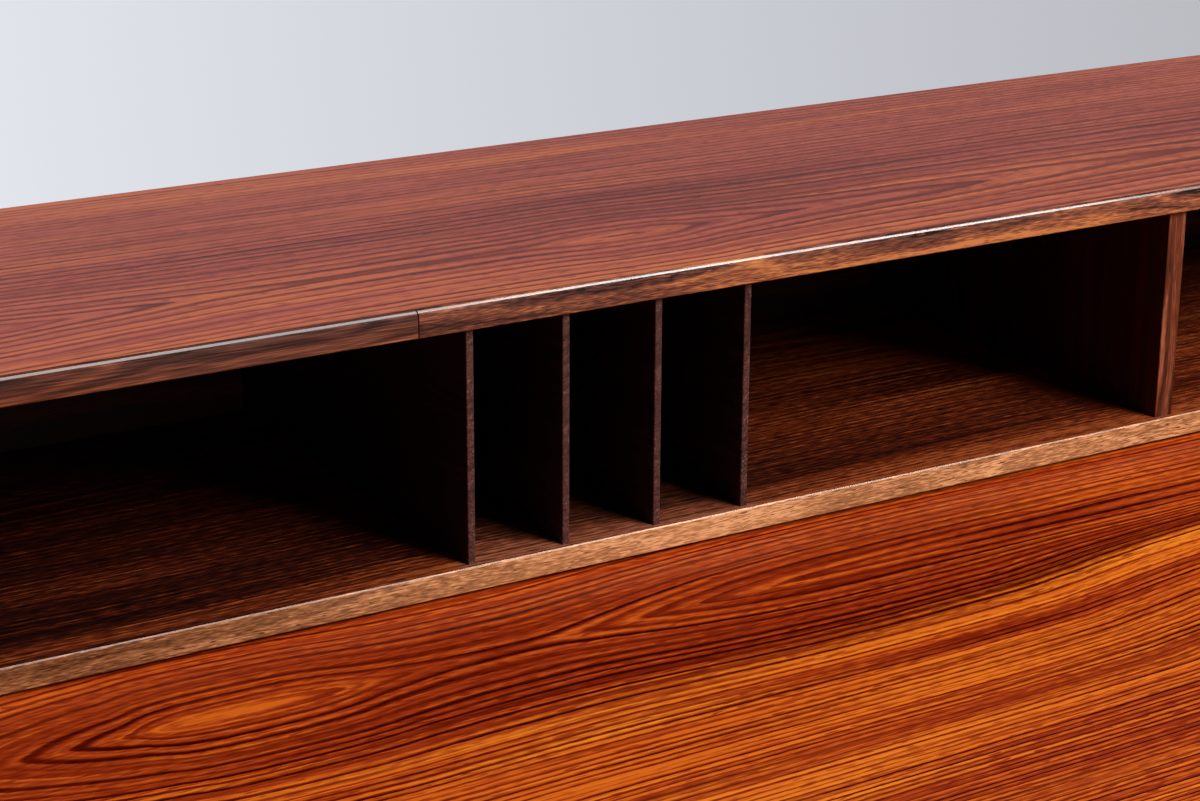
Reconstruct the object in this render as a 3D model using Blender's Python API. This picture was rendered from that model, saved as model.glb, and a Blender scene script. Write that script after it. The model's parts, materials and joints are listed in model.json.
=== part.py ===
"""A free-standing writing desk with storage on both of its sides and a pigeonhole gallery along the rear of its top.

Metres, +Z up. The origin is on the floor under the middle of the desktop. The sitter is on the -Y side, where the
drawers open. The partner's side, +Y, has an open bookcase in each pedestal, and the kneehole runs right through.
"""

import math

import bmesh
import bpy
from mathutils import Matrix, Vector

# Clearances
FIT_GAP = 0.0003
DRAWER_REVEAL = 0.0015

# Desktop
DESK_LENGTH = 1.800
DESK_DEPTH = 0.800
DESK_HEIGHT = 0.735
DESKTOP_THICKNESS = 0.024
DESKTOP_LIPPING = 0.008
DESKTOP_ROUND = 0.006

# Gallery
GALLERY_END_INSET = 0.020
GALLERY_REAR_INSET = 0.020
GALLERY_DEPTH = 0.308
GALLERY_OPENING = 0.132
GALLERY_TOP_THICKNESS = 0.015
GALLERY_FLOOR_THICKNESS = 0.014
GALLERY_END_THICKNESS = 0.015
GALLERY_BACK_THICKNESS = 0.006
GALLERY_LIPPING = 0.004
GALLERY_TOP_ROUND = 0.004
ARRIS_ROUND = 0.001
SHADOW_GAP = 0.0025
BACK_REBATE = 0.007
HOUSING_DEPTH = 0.004
LIPPING_JOINT_OFFSET = -0.119

# Gallery bays, from the middle outwards
LETTER_SLOT_COUNT = 3
LETTER_SLOT_WIDTH = 0.0537
LETTER_DIVIDER_THICKNESS = 0.0045
WIDE_BAY_WIDTH = 0.3065
POST_THICKNESS = 0.0135

# Legs
LEG_TOP_DIAMETER = 0.046
LEG_FOOT_DIAMETER = 0.026
LEG_END_INSET = 0.040
LEG_SIDE_INSET = 0.095
LEG_SHOULDER = 0.020
LEG_FLAT = 0.002
LEG_ENTASIS = 0.75
LEG_SIDES = 28
LEG_RINGS = 7
FOOT_CHAMFER = 0.002

# Pedestals
PEDESTAL_WIDTH = 0.410
PEDESTAL_FRONT_INSET = 0.030
PEDESTAL_REAR_INSET = 0.030
PEDESTAL_CLEARANCE = 0.262
CARCASS_THICKNESS = 0.018
PEDESTAL_TOP_THICKNESS = 0.015
PARTITION_THICKNESS = 0.009
PARTITION_HOUSING = 0.005
SHELF_THICKNESS = 0.016
SHELF_SETBACK = 0.006
SHELF_HOUSING = 0.005

# Drawers
DRAWER_ROWS = 3
DRAWER_DEPTH = 0.430
DRAWER_REAR_ROOM = 0.012
DRAWER_FRONT_THICKNESS = 0.019
DRAWER_SIDE_THICKNESS = 0.012
DRAWER_BACK_THICKNESS = 0.010
DRAWER_BOTTOM_THICKNESS = 0.005
DRAWER_SIDE_DROP = 0.006
DRAWER_BACK_DROP = 0.005
DRAWER_BACK_SETBACK = 0.008
BACK_HOUSING = 0.004
BOTTOM_RISE = 0.010
BOTTOM_GROOVE = 0.006
RUNNER_HEIGHT = 0.010
RUNNER_GROOVE = 0.0065
RUNNER_STOP = 0.012
RUNNER_SEAT = 0.002
DOVETAIL_LAP = 0.005
DOVETAIL_PITCH = 0.043
DOVETAIL_PIN = 0.011
DOVETAIL_SLOPE = 1 / 6
PULL_WIDTH = 0.120
PULL_DROP = 0.022
PULL_SIDES = 64

ROUND_STEPS = 4
CUT_PAST = 0.002

# The drawers of each pedestal from the top down. The file drawer takes all the rows below the first, the others one.
LEFT_DRAWERS = ("left_top_drawer", "left_file_drawer")
RIGHT_DRAWERS = ("right_top_drawer", "right_middle_drawer", "right_bottom_drawer")
FILE_DRAWER = "left_file_drawer"

# Heights and places that follow from the sizes above
DESKTOP_UNDERSIDE = DESK_HEIGHT - DESKTOP_THICKNESS
GALLERY_LENGTH = DESK_LENGTH - 2 * GALLERY_END_INSET
GALLERY_FRONT = DESK_DEPTH / 2 - GALLERY_REAR_INSET - GALLERY_DEPTH
GALLERY_FLOOR_LEVEL = SHADOW_GAP + GALLERY_FLOOR_THICKNESS
GALLERY_CEILING = GALLERY_FLOOR_LEVEL + GALLERY_OPENING
LETTER_PITCH = LETTER_SLOT_WIDTH + LETTER_DIVIDER_THICKNESS
LEG_RADIUS = LEG_TOP_DIAMETER / 2
LEG_X = DESK_LENGTH / 2 - LEG_END_INSET
LEG_Y = DESK_DEPTH / 2 - LEG_SIDE_INSET
PEDESTAL_OUTER_FACE = LEG_X - LEG_RADIUS + LEG_FLAT - FIT_GAP
PEDESTAL_HEIGHT = DESKTOP_UNDERSIDE - FIT_GAP - PEDESTAL_CLEARANCE
PEDESTAL_DEPTH = DESK_DEPTH - PEDESTAL_FRONT_INSET - PEDESTAL_REAR_INSET
PEDESTAL_INSIDE = PEDESTAL_WIDTH - 2 * CARCASS_THICKNESS
PEDESTAL_CEILING = PEDESTAL_HEIGHT - PEDESTAL_TOP_THICKNESS
PARTITION_FRONT = DRAWER_DEPTH + DRAWER_REAR_ROOM
BOOKCASE_FRONT = PARTITION_FRONT + PARTITION_THICKNESS
ROW_HEIGHT = (PEDESTAL_CEILING - CARCASS_THICKNESS - (DRAWER_ROWS + 1) * DRAWER_REVEAL) / DRAWER_ROWS
DRAWER_WIDTH = PEDESTAL_INSIDE - 2 * DRAWER_REVEAL


# Scene and materials


def clear_scene():
    for item in list(bpy.data.objects):
        bpy.data.objects.remove(item, do_unlink=True)


def finish(name, colour, roughness):
    """A wood finish with the colour that the piece has overall."""
    material = bpy.data.materials.new(name)
    material.use_nodes = True
    shader = material.node_tree.nodes["Principled BSDF"]
    shader.inputs["Base Color"].default_value = (*colour, 1.0)
    shader.inputs["Roughness"].default_value = roughness
    shader.inputs["Metallic"].default_value = 0.0
    return material


# Shapes


def datum(name, place):
    """An empty that carries the pieces of one sub-assembly."""
    empty = bpy.data.objects.new(name, None)
    empty.location = place
    bpy.context.scene.collection.objects.link(empty)
    return empty


def add_piece(name, shape, place, material, parent):
    """Turns a bmesh into a named object, placed in its parent's frame."""
    mesh = bpy.data.meshes.new(name)
    shape.to_mesh(mesh)
    shape.free()
    piece = bpy.data.objects.new(name, mesh)
    piece.location = place
    piece.parent = parent
    if material:
        mesh.materials.append(material)
    bpy.context.scene.collection.objects.link(piece)
    return piece


def board(name, low, high, material, parent=None):
    """A cuboid between two corners in its parent's frame."""
    low, high = Vector(low), Vector(high)
    shape = bmesh.new()
    bmesh.ops.create_cube(shape, size=1.0)
    bmesh.ops.scale(shape, vec=high - low, verts=shape.verts)
    return add_piece(name, shape, (low + high) / 2, material, parent)


def push_out(shape, outline, low, high):
    """Adds a prism along X to a bmesh: a (y, z) outline carried from one x to another."""
    ring = [shape.verts.new((low, y, z)) for y, z in outline]
    pushed = bmesh.ops.extrude_face_region(shape, geom=[shape.faces.new(ring)])
    moved = [item for item in pushed["geom"] if isinstance(item, bmesh.types.BMVert)]
    bmesh.ops.translate(shape, vec=(high - low, 0, 0), verts=moved)


def bar(name, outline, length, place, material, parent=None, turn=0.0):
    """A straight moulding: its (y, z) outline pushed half the length each way along X, then turned about Z."""
    shape = bmesh.new()
    push_out(shape, outline, -length / 2, length / 2)
    bmesh.ops.recalc_face_normals(shape, faces=shape.faces)
    piece = add_piece(name, shape, place, material, parent)
    piece.rotation_euler.z = turn
    return piece


def turned(name, profile, sides, place, material):
    """A piece turned about Z, from a (radius, z) profile that starts and ends on the axis."""
    shape = bmesh.new()
    line = [shape.verts.new((radius, 0, z)) for radius, z in profile]
    edges = [shape.edges.new(pair) for pair in zip(line, line[1:])]
    full_turn = {"cent": (0, 0, 0), "axis": (0, 0, 1), "angle": 2 * math.pi, "steps": sides}
    bmesh.ops.spin(shape, geom=line + edges, use_merge=True, **full_turn)
    bmesh.ops.remove_doubles(shape, verts=shape.verts, dist=1e-6)
    bmesh.ops.recalc_face_normals(shape, faces=shape.faces)
    piece = add_piece(name, shape, place, material, None)
    piece.data.shade_smooth()
    piece.data.set_sharp_from_angle(angle=math.radians(40))
    return piece


def use_tool(piece, tool, operation):
    """Cuts a hidden tool out of a piece, or joins it on."""
    tool.hide_render = True
    tool.display_type = "WIRE"
    step = piece.modifiers.new(tool.name, "BOOLEAN")
    step.operation = operation
    step.solver = "EXACT"
    step.object = tool


def cut(piece, low, high):
    """Takes a cuboid out of a piece. Its corners are in the frame of the piece's parent."""
    use_tool(piece, board(piece.name + "_cutter", low, high, None, piece.parent), "DIFFERENCE")


def join(piece, low, high):
    """Adds a cuboid to a piece. Its corners are in the frame of the piece's parent."""
    use_tool(piece, board(piece.name + "_strip", low, high, None, piece.parent), "UNION")


def arc(centre, radius, start, end):
    """Points along an arc of a (y, z) outline, with its angles in degrees."""
    angles = [math.radians(start + (end - start) * step / ROUND_STEPS) for step in range(ROUND_STEPS + 1)]
    return [(centre[0] + radius * math.cos(a), centre[1] + radius * math.sin(a)) for a in angles]


def lipping_outline(width, height, upper_round, lower_round):
    """A lipping's section. Its glued side is at y 0, its face at -width, and its foot at z 0."""
    upper = min(upper_round, width, height / 2)
    lower = min(lower_round, width, height / 2)
    outline = [(0.0, 0.0)] if lower < width else []
    outline += [(0.0, height)] if upper < width else []
    outline += arc((upper - width, height - upper), upper, 90, 180)
    outline += arc((lower - width, lower), lower, 180, 270)
    return outline


# Desktop


def make_desktop(veneer, solid):
    """The veneered panel and the four lippings round it."""
    margin = DESKTOP_LIPPING + FIT_GAP
    half_length, half_depth = DESK_LENGTH / 2, DESK_DEPTH / 2
    low = (margin - half_length, margin - half_depth, DESKTOP_UNDERSIDE)
    high = (half_length - margin, half_depth - margin, DESK_HEIGHT)
    board("desktop_panel", low, high, veneer)
    outline = lipping_outline(DESKTOP_LIPPING, DESKTOP_THICKNESS, DESKTOP_ROUND, ARRIS_ROUND)
    glued_y = half_depth - DESKTOP_LIPPING
    glued_x = half_length - DESKTOP_LIPPING
    end_length = DESK_DEPTH - 2 * margin
    lippings = (
        ("desktop_front_lipping", DESK_LENGTH, (0, -glued_y), 0),
        ("desktop_right_lipping", end_length, (glued_x, 0), 90),
        ("desktop_rear_lipping", DESK_LENGTH, (0, glued_y), 180),
        ("desktop_left_lipping", end_length, (-glued_x, 0), -90),
    )
    for name, length, (x, y), turn in lippings:
        bar(name, outline, length, (x, y, DESKTOP_UNDERSIDE), solid, turn=math.radians(turn))


# Gallery


def upright_places():
    """(node, middle x, thickness) of each upright inside the gallery."""
    half_rack = LETTER_SLOT_COUNT * LETTER_PITCH / 2
    places = []
    for index in range(LETTER_SLOT_COUNT + 1):
        places.append((f"letter_divider_{index + 1}", index * LETTER_PITCH - half_rack, LETTER_DIVIDER_THICKNESS))
    post_x = half_rack + LETTER_DIVIDER_THICKNESS / 2 + WIDE_BAY_WIDTH + POST_THICKNESS / 2
    places.append(("gallery_left_post", -post_x, POST_THICKNESS))
    places.append(("gallery_right_post", post_x, POST_THICKNESS))
    return places


def cut_housings(panel, low_z, high_z):
    """Grooves across a gallery panel that hold the ends of the uprights."""
    for _, x, thickness in upright_places():
        half = thickness / 2 + FIT_GAP
        cut(panel, (x - half, GALLERY_LIPPING - CUT_PAST, low_z), (x + half, GALLERY_DEPTH + CUT_PAST, high_z))


def make_gallery(veneer, solid, pale):
    """The open case on the desktop: top, floor, ends, back, posts and letter dividers."""
    frame = datum("gallery", (0, GALLERY_FRONT, DESK_HEIGHT))
    half = GALLERY_LENGTH / 2
    inside = half - GALLERY_END_THICKNESS
    panel_front = GALLERY_LIPPING + FIT_GAP
    back_front = GALLERY_DEPTH - GALLERY_BACK_THICKNESS
    make_gallery_top(frame, half, panel_front, back_front, veneer, solid)
    make_gallery_floor(frame, inside - FIT_GAP, panel_front, back_front, veneer, pale)
    make_gallery_ends(frame, half, inside, back_front, veneer)
    back_half = inside + BACK_REBATE - FIT_GAP
    back_top = GALLERY_CEILING + BACK_REBATE - FIT_GAP
    board("gallery_back", (-back_half, back_front, FIT_GAP), (back_half, GALLERY_DEPTH, back_top), veneer, frame)
    low_z = GALLERY_FLOOR_LEVEL - HOUSING_DEPTH + FIT_GAP
    high_z = GALLERY_CEILING + HOUSING_DEPTH - FIT_GAP
    for name, x, thickness in upright_places():
        low = (x - thickness / 2, panel_front, low_z)
        high = (x + thickness / 2, back_front - FIT_GAP, high_z)
        board(name, low, high, solid, frame)


def make_gallery_top(frame, half, panel_front, back_front, veneer, solid):
    """The top panel, with its housings and rear rebate, and its front lipping in two lengths."""
    upper = GALLERY_CEILING + GALLERY_TOP_THICKNESS
    top = board("gallery_top", (-half, panel_front, GALLERY_CEILING), (half, GALLERY_DEPTH, upper), veneer, frame)
    cut_housings(top, GALLERY_CEILING - CUT_PAST, GALLERY_CEILING + HOUSING_DEPTH)
    rebate = half - GALLERY_END_THICKNESS + BACK_REBATE
    low = (-rebate, back_front - FIT_GAP, GALLERY_CEILING - CUT_PAST)
    cut(top, low, (rebate, GALLERY_DEPTH + CUT_PAST, GALLERY_CEILING + BACK_REBATE))
    outline = lipping_outline(GALLERY_LIPPING, GALLERY_TOP_THICKNESS, GALLERY_TOP_ROUND, ARRIS_ROUND)
    lengths = (
        ("gallery_top_lipping_left", -half, LIPPING_JOINT_OFFSET - FIT_GAP / 2),
        ("gallery_top_lipping_right", LIPPING_JOINT_OFFSET + FIT_GAP / 2, half),
    )
    for name, low, high in lengths:
        place = ((low + high) / 2, GALLERY_LIPPING, GALLERY_CEILING)
        bar(name, outline, high - low, place, solid, frame)


def make_gallery_floor(frame, half, panel_front, back_front, veneer, pale):
    """The floor panel between the ends, with its housings, and its pale front lipping."""
    low = (-half, panel_front, SHADOW_GAP)
    high = (half, back_front - FIT_GAP, GALLERY_FLOOR_LEVEL)
    floor = board("gallery_floor", low, high, veneer, frame)
    cut_housings(floor, GALLERY_FLOOR_LEVEL - HOUSING_DEPTH, GALLERY_FLOOR_LEVEL + CUT_PAST)
    outline = lipping_outline(GALLERY_LIPPING, GALLERY_FLOOR_THICKNESS, ARRIS_ROUND, ARRIS_ROUND)
    bar("gallery_floor_lipping", outline, 2 * half, (0, GALLERY_LIPPING, SHADOW_GAP), pale, frame)


def make_gallery_ends(frame, half, inside, back_front, veneer):
    """The two ends that stand on the desktop, rebated for the back."""
    for name, side in (("gallery_left_end", -1), ("gallery_right_end", 1)):
        inner, outer = sorted((side * inside, side * half))
        low = (inner, 0.0, FIT_GAP)
        high = (outer, GALLERY_DEPTH, GALLERY_CEILING - FIT_GAP)
        end = board(name, low, high, veneer, frame)
        first, last = sorted((side * (inside - CUT_PAST), side * (inside + BACK_REBATE)))
        cut(end, (first, back_front - FIT_GAP, 0.0), (last, GALLERY_DEPTH + CUT_PAST, GALLERY_CEILING))


# Legs


def leg_profile():
    """A straight upper leg that tapers to the foot with a slight swell."""
    straight_from = PEDESTAL_CLEARANCE - LEG_SHOULDER
    foot = LEG_FOOT_DIAMETER / 2
    profile = [(0.0, 0.0), (foot - FOOT_CHAMFER, 0.0)]
    for ring in range(LEG_RINGS + 1):
        share = ring / LEG_RINGS
        z = FOOT_CHAMFER + share * (straight_from - FOOT_CHAMFER)
        profile.append((foot + (LEG_RADIUS - foot) * share**LEG_ENTASIS, z))
    top = DESKTOP_UNDERSIDE - FIT_GAP
    return profile + [(LEG_RADIUS, top), (0.0, top)]


def make_legs(solid):
    """Four turned legs. Each is planed flat where it meets its pedestal, down to a ledge under the carcass side."""
    places = (("front_left_leg", -1, -1), ("front_right_leg", 1, -1), ("rear_left_leg", -1, 1), ("rear_right_leg", 1, 1))
    for name, side, end in places:
        x, y = side * LEG_X, end * LEG_Y
        leg = turned(name, leg_profile(), LEG_SIDES, (x, y, 0), solid)
        flat = x - side * (LEG_RADIUS - LEG_FLAT)
        first, last = sorted((flat, x - side * (LEG_RADIUS + CUT_PAST)))
        low = (first, y - LEG_RADIUS, PEDESTAL_CLEARANCE - FIT_GAP)
        cut(leg, low, (last, y + LEG_RADIUS, DESKTOP_UNDERSIDE + CUT_PAST))


# Pedestals


def drawer_spans(drawers):
    """(name, underside, height) of each drawer in a pedestal, with heights above the pedestal's underside."""
    spans = []
    top = PEDESTAL_CEILING - DRAWER_REVEAL
    for name in drawers:
        rows = DRAWER_ROWS - 1 if name == FILE_DRAWER else 1
        height = rows * ROW_HEIGHT + (rows - 1) * DRAWER_REVEAL
        spans.append((name, top - height, height))
        top -= height + DRAWER_REVEAL
    return spans


def runner_level(height):
    """How far the runner's underside lies above the drawer's."""
    return (height - DRAWER_SIDE_DROP - RUNNER_HEIGHT) / 2


def make_pedestal(name, side, drawers, veneer, solid, lining):
    """One carcass: two sides with their runners, bottom, top, the partition, the bookcase shelf and the drawers."""
    middle = side * (PEDESTAL_OUTER_FACE - PEDESTAL_WIDTH / 2)
    frame = datum(name, (middle, PEDESTAL_FRONT_INSET - DESK_DEPTH / 2, PEDESTAL_CLEARANCE))
    half = PEDESTAL_INSIDE / 2
    for position, turn in (("outer", side), ("inner", -side)):
        make_carcass_side(f"{name}_{position}_side", frame, turn, drawers, veneer)
    fitted = half - FIT_GAP
    high = (fitted, PEDESTAL_DEPTH, CARCASS_THICKNESS)
    board(f"{name}_bottom", (-fitted, 0, 0), high, veneer, frame)
    low = (-fitted, 0, PEDESTAL_CEILING)
    board(f"{name}_top", low, (fitted, PEDESTAL_DEPTH, PEDESTAL_HEIGHT), solid, frame)
    housed = half + PARTITION_HOUSING - FIT_GAP
    low = (-housed, PARTITION_FRONT, CARCASS_THICKNESS + FIT_GAP)
    high = (housed, BOOKCASE_FRONT, PEDESTAL_CEILING - FIT_GAP)
    board(f"{name}_partition", low, high, veneer, frame)
    housed = half + SHELF_HOUSING - FIT_GAP
    low = (-housed, BOOKCASE_FRONT + FIT_GAP, shelf_level())
    high = (housed, PEDESTAL_DEPTH - SHELF_SETBACK, shelf_level() + SHELF_THICKNESS)
    board(f"{name}_shelf", low, high, veneer, frame)
    for drawer, underside, height in drawer_spans(drawers):
        make_drawer(drawer, frame, underside, height, veneer, lining)


def shelf_level():
    """The shelf's underside, half-way up the bookcase."""
    return (CARCASS_THICKNESS + PEDESTAL_CEILING - SHELF_THICKNESS) / 2


def make_carcass_side(name, frame, turn, drawers, veneer):
    """A side with runners for its drawers and housings for the partition and shelf. Its outer face points to turn."""
    inside = PEDESTAL_INSIDE / 2
    first, last = sorted((turn * inside, turn * PEDESTAL_WIDTH / 2))
    panel = board(name, (first, 0, 0), (last, PEDESTAL_DEPTH, PEDESTAL_HEIGHT), veneer, frame)
    reach = inside - DRAWER_REVEAL - RUNNER_GROOVE + FIT_GAP
    first, last = sorted((turn * reach, turn * (inside + RUNNER_SEAT)))
    runner_front = DRAWER_FRONT_THICKNESS + RUNNER_STOP + FIT_GAP
    for _, underside, height in drawer_spans(drawers):
        low_z = underside + runner_level(height)
        join(panel, (first, runner_front, low_z), (last, DRAWER_DEPTH, low_z + RUNNER_HEIGHT))
    first, last = sorted((turn * (inside - CUT_PAST), turn * (inside + PARTITION_HOUSING)))
    low = (first, PARTITION_FRONT - FIT_GAP, CARCASS_THICKNESS)
    cut(panel, low, (last, BOOKCASE_FRONT + FIT_GAP, PEDESTAL_CEILING))
    first, last = sorted((turn * (inside - CUT_PAST), turn * (inside + SHELF_HOUSING)))
    low = (first, BOOKCASE_FRONT, shelf_level() - FIT_GAP)
    high = (last, PEDESTAL_DEPTH - SHELF_SETBACK + FIT_GAP, shelf_level() + SHELF_THICKNESS + FIT_GAP)
    cut(panel, low, high)


# Drawers


def make_drawer(name, pedestal, underside, height, veneer, lining):
    """A dovetailed drawer: front, two sides, back and bottom, on a datum at the foot of the front's face."""
    frame = datum(name, (0, 0, underside))
    frame.parent = pedestal
    side_height = height - DRAWER_SIDE_DROP
    make_drawer_front(name, frame, height, side_height, veneer)
    for position, turn in (("left", -1), ("right", 1)):
        make_drawer_side(f"{name}_{position}_side", frame, turn, height, side_height, lining)
    inside = DRAWER_WIDTH / 2 - DRAWER_SIDE_THICKNESS
    housed = inside + BACK_HOUSING - FIT_GAP
    back_rear = DRAWER_DEPTH - DRAWER_BACK_SETBACK
    low = (-housed, back_rear - DRAWER_BACK_THICKNESS, BOTTOM_RISE + DRAWER_BOTTOM_THICKNESS + FIT_GAP)
    board(f"{name}_back", low, (housed, back_rear, side_height - DRAWER_BACK_DROP), lining, frame)
    grooved = inside + BOTTOM_GROOVE - FIT_GAP
    low = (-grooved, DRAWER_FRONT_THICKNESS - BOTTOM_GROOVE + FIT_GAP, BOTTOM_RISE)
    high = (grooved, DRAWER_DEPTH, BOTTOM_RISE + DRAWER_BOTTOM_THICKNESS)
    board(f"{name}_bottom", low, high, lining, frame)


def tail_outlines(side_height, clearance, past):
    """The (y, z) outlines of a drawer side's tails, from the bottom up. Each starts past the shoulder by the given run."""
    tip = DOVETAIL_LAP + FIT_GAP - clearance
    shoulder = DRAWER_FRONT_THICKNESS + past
    wide = (DOVETAIL_PITCH - DOVETAIL_PIN) / 2 + clearance
    narrow = wide - DOVETAIL_SLOPE * (shoulder - tip)
    outlines = []
    for index in range(int(side_height / DOVETAIL_PITCH)):
        middle = (index + 0.5) * DOVETAIL_PITCH
        outlines.append(
            [(shoulder, middle - narrow), (tip, middle - wide), (tip, middle + wide), (shoulder, middle + narrow)]
        )
    return outlines


def make_drawer_front(name, frame, height, side_height, veneer):
    """The front: a crescent finger pull in its top edge, sockets for the tails and a groove for the bottom."""
    half = DRAWER_WIDTH / 2
    front = board(f"{name}_front", (-half, 0, 0), (half, DRAWER_FRONT_THICKNESS, height), veneer, frame)
    use_tool(front, pull_cutter(name, frame, height), "DIFFERENCE")
    use_tool(front, socket_cutter(name, frame, half, side_height), "DIFFERENCE")
    grooved = half - DRAWER_SIDE_THICKNESS
    low = (-grooved, DRAWER_FRONT_THICKNESS - BOTTOM_GROOVE, BOTTOM_RISE - FIT_GAP)
    high = (grooved, DRAWER_FRONT_THICKNESS + CUT_PAST, BOTTOM_RISE + DRAWER_BOTTOM_THICKNESS + FIT_GAP)
    cut(front, low, high)


def pull_cutter(name, frame, height):
    """A round bar across the front's top edge, whose arc has the pull's width and drop."""
    radius = PULL_WIDTH**2 / (8 * PULL_DROP) + PULL_DROP / 2
    length = DRAWER_FRONT_THICKNESS + 2 * CUT_PAST
    shape = bmesh.new()
    across = Matrix.Rotation(math.radians(90), 4, "X")
    sizes = {"segments": PULL_SIDES, "radius1": radius, "radius2": radius, "depth": length}
    bmesh.ops.create_cone(shape, cap_ends=True, matrix=across, **sizes)
    place = (0, DRAWER_FRONT_THICKNESS / 2, height - PULL_DROP + radius)
    return add_piece(f"{name}_pull_cutter", shape, place, None, frame)


def socket_cutter(name, frame, half, side_height):
    """Prisms for the sockets of both sides' tails, a fit gap larger than the tails."""
    shape = bmesh.new()
    reach = half - DRAWER_SIDE_THICKNESS - FIT_GAP
    for outline in tail_outlines(side_height, FIT_GAP, CUT_PAST):
        push_out(shape, outline, -half - CUT_PAST, -reach)
        push_out(shape, outline, reach, half + CUT_PAST)
    bmesh.ops.recalc_face_normals(shape, faces=shape.faces)
    return add_piece(f"{name}_socket_cutter", shape, (0, 0, 0), None, frame)


def make_drawer_side(name, frame, turn, height, side_height, lining):
    """A side with tails at its front end, a runner groove outside, and grooves inside for the bottom and back."""
    shoulder = DRAWER_FRONT_THICKNESS + FIT_GAP
    outline = [(DRAWER_DEPTH, side_height), (DRAWER_DEPTH, 0.0), (shoulder, 0.0)]
    for tail in tail_outlines(side_height, 0.0, FIT_GAP):
        outline += tail
    outline.append((shoulder, side_height))
    outer = turn * DRAWER_WIDTH / 2
    inner = turn * (DRAWER_WIDTH / 2 - DRAWER_SIDE_THICKNESS)
    piece = bar(name, outline, DRAWER_SIDE_THICKNESS, ((outer + inner) / 2, 0, 0), lining, frame)
    first, last = sorted((outer + turn * CUT_PAST, outer - turn * RUNNER_GROOVE))
    low_z = runner_level(height) - FIT_GAP
    high = (last, DRAWER_DEPTH + CUT_PAST, low_z + RUNNER_HEIGHT + 2 * FIT_GAP)
    cut(piece, (first, DRAWER_FRONT_THICKNESS + RUNNER_STOP, low_z), high)
    first, last = sorted((inner - turn * CUT_PAST, inner + turn * BOTTOM_GROOVE))
    bottom_top = BOTTOM_RISE + DRAWER_BOTTOM_THICKNESS + FIT_GAP
    low = (first, DRAWER_FRONT_THICKNESS - BOTTOM_GROOVE, BOTTOM_RISE - FIT_GAP)
    cut(piece, low, (last, DRAWER_DEPTH + CUT_PAST, bottom_top))
    first, last = sorted((inner - turn * CUT_PAST, inner + turn * BACK_HOUSING))
    back_rear = DRAWER_DEPTH - DRAWER_BACK_SETBACK + FIT_GAP
    low = (first, back_rear - DRAWER_BACK_THICKNESS - 2 * FIT_GAP, bottom_top - FIT_GAP)
    cut(piece, low, (last, back_rear, side_height + CUT_PAST))


def main():
    clear_scene()
    veneer = finish("rosewood_veneer", (0.300, 0.075, 0.025), 0.38)
    solid = finish("rosewood_solid", (0.170, 0.062, 0.030), 0.42)
    pale = finish("pale_lipping", (0.330, 0.180, 0.085), 0.50)
    lining = finish("drawer_lining", (0.420, 0.250, 0.130), 0.60)
    make_desktop(veneer, solid)
    make_gallery(veneer, solid, pale)
    make_legs(solid)
    make_pedestal("left_pedestal", -1, LEFT_DRAWERS, veneer, solid, lining)
    make_pedestal("right_pedestal", 1, RIGHT_DRAWERS, veneer, solid, lining)


main()
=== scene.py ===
"""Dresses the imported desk: eased edges, turned legs and procedural rosewood, on a pale studio floor."""

import json
import math
from typing import NamedTuple

import bmesh
import bpy
from mathutils import Matrix, Vector

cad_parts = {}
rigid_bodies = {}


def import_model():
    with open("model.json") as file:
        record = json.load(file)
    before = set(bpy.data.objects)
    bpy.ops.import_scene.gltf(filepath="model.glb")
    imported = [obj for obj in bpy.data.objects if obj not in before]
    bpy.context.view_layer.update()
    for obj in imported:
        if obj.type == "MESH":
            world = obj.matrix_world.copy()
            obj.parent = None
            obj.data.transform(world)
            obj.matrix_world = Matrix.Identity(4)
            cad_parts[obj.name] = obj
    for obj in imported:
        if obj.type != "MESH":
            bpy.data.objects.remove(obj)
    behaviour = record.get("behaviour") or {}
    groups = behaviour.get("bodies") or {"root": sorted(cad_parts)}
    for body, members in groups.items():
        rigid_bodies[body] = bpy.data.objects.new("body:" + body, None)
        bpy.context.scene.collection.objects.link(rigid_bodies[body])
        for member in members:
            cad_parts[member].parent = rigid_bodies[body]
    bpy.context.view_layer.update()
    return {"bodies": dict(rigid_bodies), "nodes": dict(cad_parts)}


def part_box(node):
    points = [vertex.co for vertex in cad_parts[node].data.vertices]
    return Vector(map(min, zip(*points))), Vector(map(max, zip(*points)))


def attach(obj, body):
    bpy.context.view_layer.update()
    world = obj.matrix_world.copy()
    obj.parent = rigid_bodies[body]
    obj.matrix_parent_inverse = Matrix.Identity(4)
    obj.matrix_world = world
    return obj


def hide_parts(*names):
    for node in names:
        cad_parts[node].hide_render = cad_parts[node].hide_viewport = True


bl_info = {
    "name": "Rosewood Partners Desk",
    "version": (1, 0, 0),
    "blender": (4, 5, 0),
    "location": "View3D > Sidebar > Desk",
    "description": "Dresses the pieces of a rosewood desk with a pigeonhole gallery",
    "category": "Object",
}

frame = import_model()

ROOT_BODY = "desk"
DRAWERS = [body for body in frame["bodies"] if body.endswith("_drawer")]
DIVIDERS = [f"letter_divider_{index}" for index in range(1, 5)]
LEGS = ("front_left_leg", "front_right_leg", "rear_left_leg", "rear_right_leg")


# Sizes and colours that a user would change


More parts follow.
